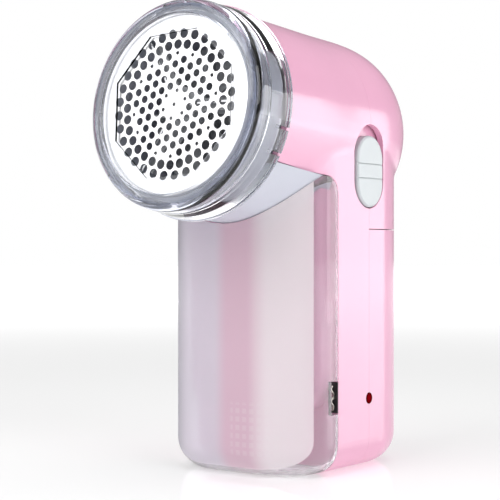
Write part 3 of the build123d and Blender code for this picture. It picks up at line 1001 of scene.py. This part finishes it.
@dataclass
class ScrewSet:
    """Cross-head screws, alike, at several places."""

    head_radius: float
    head_height: float
    shank_radius: float
    shank_length: float
    cross_width: float = 0.9
    cross_reach: float = 1.3

    def build(
        self, name: str, body: str, node: str, places: Sequence[Point], place: Matrix
    ) -> None:
        """Instance one screw on its places.

        Args:
            name: The piece's name.
            body: The CAD body that it rides on.
            node: The CAD node that it stands for.
            places: Where each head's underside sits, in millimetres.
            place: The screws' frame, whose +Z points out of the heads.
        """
        tree = ShapeTree(
            name + "_pattern",
            {
                "Head Radius": self.head_radius * MM,
                "Head Height": self.head_height * MM,
                "Shank Radius": self.shank_radius * MM,
                "Shank Length": self.shank_length * MM,
                "Cross Width": self.cross_width * MM,
            },
        )
        height, width = tree.size("Head Height"), tree.size("Cross Width")
        half_head = tree.math("MULTIPLY", height, 0.5)
        half_shank = tree.math("MULTIPLY", tree.size("Shank Length"), -0.5)
        head = tree.cylinder(36, tree.size("Head Radius"), height)
        head = tree.placed(head, tree.vector(z=half_head))
        arm = tree.math("MULTIPLY", tree.size("Head Radius"), self.cross_reach)
        cuts = []
        for sides in ((arm, width), (width, arm)):
            bar = tree.block(*sides, height)
            cuts.append(tree.placed(bar, tree.vector(z=height)))
        head = tree.node(
            "GeometryNodeMeshBoolean", {"operation": "DIFFERENCE"}, {"Mesh 1": head, "Mesh 2": cuts}
        )
        shank = tree.cylinder(24, tree.size("Shank Radius"), tree.size("Shank Length"))
        shank = tree.placed(shank, tree.vector(z=half_shank))
        screws = tree.copies(tree.join(head, shank))
        start = point_mesh(name + "_places", [Vector(point) * MM for point in places])
        tree.piece(name, screws, Slot.PLATED_STEEL, body, (node,), place, start)


@dataclass
class Drive:
    """The lint chamber, the motor and what holds it."""

    wall_front: float = -40.0
    screw_radius: float = 7.5
    finishes: tuple[tuple[str, Slot], ...] = (
        ("cutter_chamber", Slot.PALE),
        ("shaft_bearing", Slot.BRONZE),
        ("motor_mount", Slot.WHITE),
        ("motor_can", Slot.PLATED_STEEL),
        ("motor_end_cap", Slot.BLACK),
    )

    def build(self) -> None:
        """Dress the chamber and motor, and build the motor's screws."""
        PAINTS.dress_all(self.finishes)
        places = [(side * self.screw_radius, 0.0, self.wall_front) for side in (-1, 1)]
        ScrewSet(1.9, 1.4, 0.95, 7.0, 0.6).build(
            "mount_screws", "housing", "motor_screws", places, HEAD_PLACE
        )


@dataclass
class Housing:
    """The pink shells, their screws and the grille on the wall behind the bin."""

    screw_places: tuple[tuple[float, float], ...] = ((-13, 67), (13, 67), (-13, 84.5), (13, 84.5))
    seat_y: float = 22.0
    grille_half_width: float = 9.8
    grille_low: float = 4.6
    grille_high: float = 18.6
    grille_pitch: float = 2.8
    tile: float = 1.9
    tile_depth: float = 0.6
    wall_y: float = -6.3

    def build_screws(self) -> None:
        """The four screws that join the shells, with their heads towards the back."""
        places = [(-x, z, self.seat_y) for x, z in self.screw_places]
        ScrewSet(2.8, 2.0, 1.45, 20.0).build(
            "shell_screws", "housing", "housing_screws", places, TOWARDS_BACK
        )

    def build_grille(self) -> None:
        """Small square tiles on the housing's front wall, below the pad."""
        columns = int(2 * self.grille_half_width / self.grille_pitch) + 1
        rows = int((self.grille_high - self.grille_low) / self.grille_pitch) + 1
        tree = ShapeTree(
            "grille_tiles",
            {
                "Columns": columns,
                "Rows": rows,
                "Width": (columns - 1) * self.grille_pitch * MM,
                "Height": (rows - 1) * self.grille_pitch * MM,
                "Tile": self.tile * MM,
                "Depth": self.tile_depth * MM,
            },
        )
        grid = tree.node(
            "GeometryNodeMeshGrid",
            None,
            {
                "Size X": tree.size("Width"),
                "Size Y": tree.size("Height"),
                "Vertices X": tree.size("Columns"),
                "Vertices Y": tree.size("Rows"),
            },
        )
        tile = tree.block(tree.size("Tile"), tree.size("Tile"), tree.size("Depth"))
        tiles = tree.copies(tile, grid)
        middle = (self.grille_low + self.grille_high) / 2
        front = self.wall_y - self.tile_depth / 2
        place = Matrix.Translation((0, front * MM, middle * MM)) @ ALONG_Y
        tree.piece("wall_grille", tiles, Slot.PINK, "housing", (), place)

    def build(self) -> None:
        """Dress the shells and build the screws and the grille."""
        for node in ("front_shell", "rear_shell", "rear_cover"):
            PAINTS.dress(node, Slot.PINK)
        self.build_screws()
        self.build_grille()


@dataclass
class SlideSwitch:
    """The white slide button, its plate and the switch behind it."""

    finishes: tuple[tuple[str, Slot], ...] = (
        ("switch_slider", Slot.WHITE),
        ("switch_plate", Slot.PINK),
        ("slide_switch", Slot.BLACK),
    )

    def build(self) -> None:
        """Dress the switch's pieces."""
        PAINTS.dress_all(self.finishes)


@dataclass
class LintBin:
    """The frosted bin, the clips that hold it and black plates behind them, painted shade for the
    dark slots.
    """

    pocket_x: float = 27.15
    pocket_y: float = -6.46
    pocket_z: float = 24.45
    pocket_width: float = 3.1
    pocket_height: float = 9.7
    pocket_depth: float = 0.3

    def build_slot_shade_plates(self) -> None:
        """A black plate behind each clip: painted shade for the dark slot there."""
        tree = ShapeTree(
            "clip_slot_shade_plates",
            {"Width": self.pocket_width * MM, "Height": self.pocket_height * MM},
        )
        plate = tree.block(tree.size("Width"), self.pocket_depth * MM, tree.size("Height"))
        plates = tree.copies(plate)
        places = [(side * self.pocket_x, self.pocket_y, self.pocket_z) for side in (-1, 1)]
        start = point_mesh("pocket_places", [Vector(place) * MM for place in places])
        # Black plates stand in for the shade inside the clip slots: painted shade.
        tree.piece("clip_slot_shade_plates", plates, Slot.BLACK, "housing", (), None, start)

    def build(self) -> None:
        """Dress the bin and its clips, and build the black plates of painted shade behind the
        clips.
        """
        PAINTS.dress("lint_bin", Slot.FROSTED)
        PAINTS.dress("bin_clips", Slot.SPRING_STEEL)
        self.build_slot_shade_plates()


@dataclass
class Power:
    """The cells, the charging board and the wires."""

    board_y: float = -0.7
    pin_radius: float = 0.8
    pin_length: float = 8.0
    pin_x: float = 2.6
    pin_y: float = 33.0
    pin_z: float = 7.0
    pin_tip: float = 0.3
    chips: tuple[tuple[float, float, float, float, float], ...] = (
        (-8.0, 50.0, 7.0, 5.0, 1.6),
        (5.0, 48.0, 4.0, 4.0, 1.2),
        (-6.0, 38.0, 3.0, 6.0, 1.0),
        (7.0, 36.0, 8.0, 8.0, 2.4),
        (-9.0, 24.0, 5.0, 3.0, 1.0),
        (2.0, 24.0, 3.0, 3.0, 1.0),
        (9.0, 22.0, 4.0, 6.0, 1.8),
    )
    finishes: tuple[tuple[str, Slot], ...] = (
        ("battery_cells", Slot.SLEEVE),
        ("battery_tray", Slot.WHITE),
        ("battery_straps", Slot.NICKEL),
        ("circuit_board", Slot.BOARD),
        ("led_lamp", Slot.RED_LAMP),
        ("charge_inlet", Slot.BLACK),
        ("lead_red", Slot.WIRE_RED),
        ("lead_black", Slot.WIRE_BLACK),
    )

    def build_chips(self) -> None:
        """The parts on the charging board, as blocks of several sizes."""
        tree = ShapeTree("board_parts", {"Unit": 1.0 * MM})
        unit = tree.size("Unit")
        sizes = [tree.number(label) for label in ("wide", "deep", "tall")]
        blocks = tree.copies(tree.block(unit, unit, unit), Scale=tree.vector(*sizes))
        start = point_mesh(
            "board_part_places",
            [(x * MM, (self.board_y + deep / 2) * MM, z * MM) for x, z, _, _, deep in self.chips],
            wide=[chip[2] for chip in self.chips],
            deep=[chip[4] for chip in self.chips],
            tall=[chip[3] for chip in self.chips],
        )
        tree.piece("board_parts", blocks, Slot.BLACK, "housing", (), None, start)

    def build_pins(self) -> None:
        """The two round-ended contact pins in the inlet."""
        sizes = {"Pin Radius": self.pin_radius * MM, "Pin Length": self.pin_length * MM}
        tree = ShapeTree("pin_pair", sizes)
        pins = tree.copies(tree.cylinder(24, tree.size("Pin Radius"), tree.size("Pin Length")))
        places = [(side * self.pin_x, self.pin_y, self.pin_z) for side in (-1, 1)]
        start = point_mesh("pin_places", [Vector(place) * MM for place in places])
        nodes = ("inlet_pins",)
        made = tree.piece("contact_pins", pins, Slot.NICKEL, "housing", nodes, None, start)
        tip = made.modifiers.new("rounded_tip", "BEVEL")
        tip.width = self.pin_tip * MM
        tip.segments = 2

    def build(self) -> None:
        """Dress the power parts and build the board's parts and the pins."""
        PAINTS.dress_all(self.finishes)
        self.build_chips()
        self.build_pins()


# ---- studio


@dataclass(frozen=True)
class Softbox:
    """A rectangular light."""

    name: str
    place: Point
    aim: Point
    width: float
    height: float
    watts: float
    only_gloss: bool = False
    through_clear: bool = True

    def build(self) -> None:
        """Set the light up, facing its aim."""
        data = bpy.data.lights.new(self.name, "AREA")
        data.shape = "RECTANGLE"
        data.size = self.width
        data.size_y = self.height
        data.energy = self.watts
        made = bpy.data.objects.new(self.name, data)
        made.location = self.place
        away = Vector(self.aim) - Vector(self.place)
        made.rotation_euler = away.to_track_quat("-Z", "Y").to_euler()
        made.visible_camera = False
        made.visible_diffuse = not self.only_gloss
        made.visible_transmission = self.through_clear
        bpy.context.scene.collection.objects.link(made)


@dataclass
class Studio:
    """Camera, floor, surroundings and lights."""

    camera_place: Point = (0.2626, -0.3736, 0.0703)
    camera_forward: Point = (-0.589, 0.808, 0.0)
    lens: float = 100.8
    sensor: float = 36.0
    floor_size: float = 12.0
    floor_grey: float = 0.78
    floor_glow: float = 0.85
    near_glow: float = 0.40
    dome_radius: float = 5.5
    low_sky: float = 0.36
    dark_band: float = 0.2
    high_sky: float = 0.75
    band_start: Span = (0.19, 0.26)
    band_end: Span = (0.60, 0.75)
    glow_span: Span = (0.3, 1.6)
    lights: tuple[Softbox, ...] = (
        Softbox("key", (-0.3, -1.3, 1.1), (0.0, 0.0, 0.09), 1.2, 1.2, 15.0),
        Softbox("side", (1.5, -0.5, 0.8), (0.0, 0.0, 0.09), 1.0, 1.0, 10.0),
        Softbox("overhead", (0.1, 0.3, 1.7), (0.0, 0.0, 0.1), 1.6, 1.6, 9.0),
        Softbox("side_strip", (1.03, 1.09, 0.2), (0.0, 0.0, 0.12), 1.0, 0.62, 7.5, True, False),
        Softbox("foil_glow", (-0.83, -1.12, 0.4), (0.0, -0.05, 0.11), 1.0, 0.8, 2.9, True),
    )

    def build_camera(self) -> None:
        """Stand the camera level, looking at the shaver."""
        data = bpy.data.cameras.new("camera")
        data.lens = self.lens
        data.sensor_width = self.sensor
        data.clip_start = 0.01
        data.clip_end = 60.0
        made = bpy.data.objects.new("camera", data)
        made.location = self.camera_place
        made.rotation_euler = Vector(self.camera_forward).to_track_quat("-Z", "Y").to_euler()
        bpy.context.scene.collection.objects.link(made)
        bpy.context.scene.camera = made

    def build_floor(self) -> None:
        """Lay the pale, slightly glossy floor."""
        half = self.floor_size / 2
        mesh = bpy.data.meshes.new("floor")
        corners = [(-half, -half, 0), (half, -half, 0), (half, half, 0), (-half, half, 0)]
        mesh.from_pydata(corners, [], [(0, 1, 2, 3)])
        material, graph = new_material("floor_sheet")
        x, y, _ = graph.place()
        far = distance(x, y).step(*self.glow_span)
        graph.surface(
            Base_Color=(*(self.floor_grey,) * 3, 1.0),
            Roughness=0.09,
            IOR=1.6,
            Emission_Color=graph.mix(far, (self.near_glow,) * 3, (1.0, 1.0, 1.0)),
            Emission_Strength=self.floor_glow,
        )
        mesh.materials.append(material)
        made = bpy.data.objects.new("floor", mesh)
        bpy.context.scene.collection.objects.link(made)

    def build_dome(self) -> None:
        """Hang the white backdrop all round, which lights nothing."""
        bpy.ops.mesh.primitive_uv_sphere_add(radius=self.dome_radius, segments=48, ring_count=24)
        made = bpy.context.object
        made.name = "backdrop"
        material, graph = new_material("backdrop_white")
        white = {"Color": (1.0, 1.0, 1.0, 1.0), "Strength": 1.0}
        glow = graph.node("ShaderNodeEmission", None, white)
        graph.output(glow)
        made.data.materials.append(material)
        made.visible_diffuse = False
        made.visible_glossy = False
        made.visible_transmission = False
        made.visible_shadow = False

    def build_world(self) -> None:
        """Light everything softly from low down and overhead, with a dark band between."""
        world = bpy.data.worlds.new("studio_world")
        bpy.context.scene.world = world
        world.use_nodes = True
        graph = ShaderGraph(world.node_tree)
        source = graph.node("ShaderNodeTexCoord")
        parts = graph.node("ShaderNodeSeparateXYZ", None, {0: source.outputs["Generated"]})
        up = Signal(graph, parts.outputs[2])
        dark = up.step(*self.band_start)
        band = graph.mix(dark, (self.low_sky,) * 3, (self.dark_band,) * 3)
        sky = graph.mix(up.step(*self.band_end), band, (self.high_sky,) * 3)
        shell = graph.node("ShaderNodeBackground", None, {"Color": sky, "Strength": 1.0})
        graph.node("ShaderNodeOutputWorld", None, {"Surface": shell})

    def build(self) -> None:
        """Set the studio up."""
        self.build_camera()
        self.build_floor()
        self.build_dome()
        self.build_world()
        for light in self.lights:
            light.build()
        bpy.context.scene.view_settings.view_transform = "Standard"


def main() -> None:
    """Build the shaver's looks piece by piece."""
    logging.basicConfig(level=logging.INFO, format="%(message)s")
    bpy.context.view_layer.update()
    Studio().build()
    for assembly in (
        ShavingHead(),
        Cutter(),
        Drive(),
        Housing(),
        SlideSwitch(),
        LintBin(),
        Power(),
    ):
        LOG.info("building %s", type(assembly).__name__)
        assembly.build()
    bpy.context.view_layer.update()


if __name__ == "__main__":
    main()
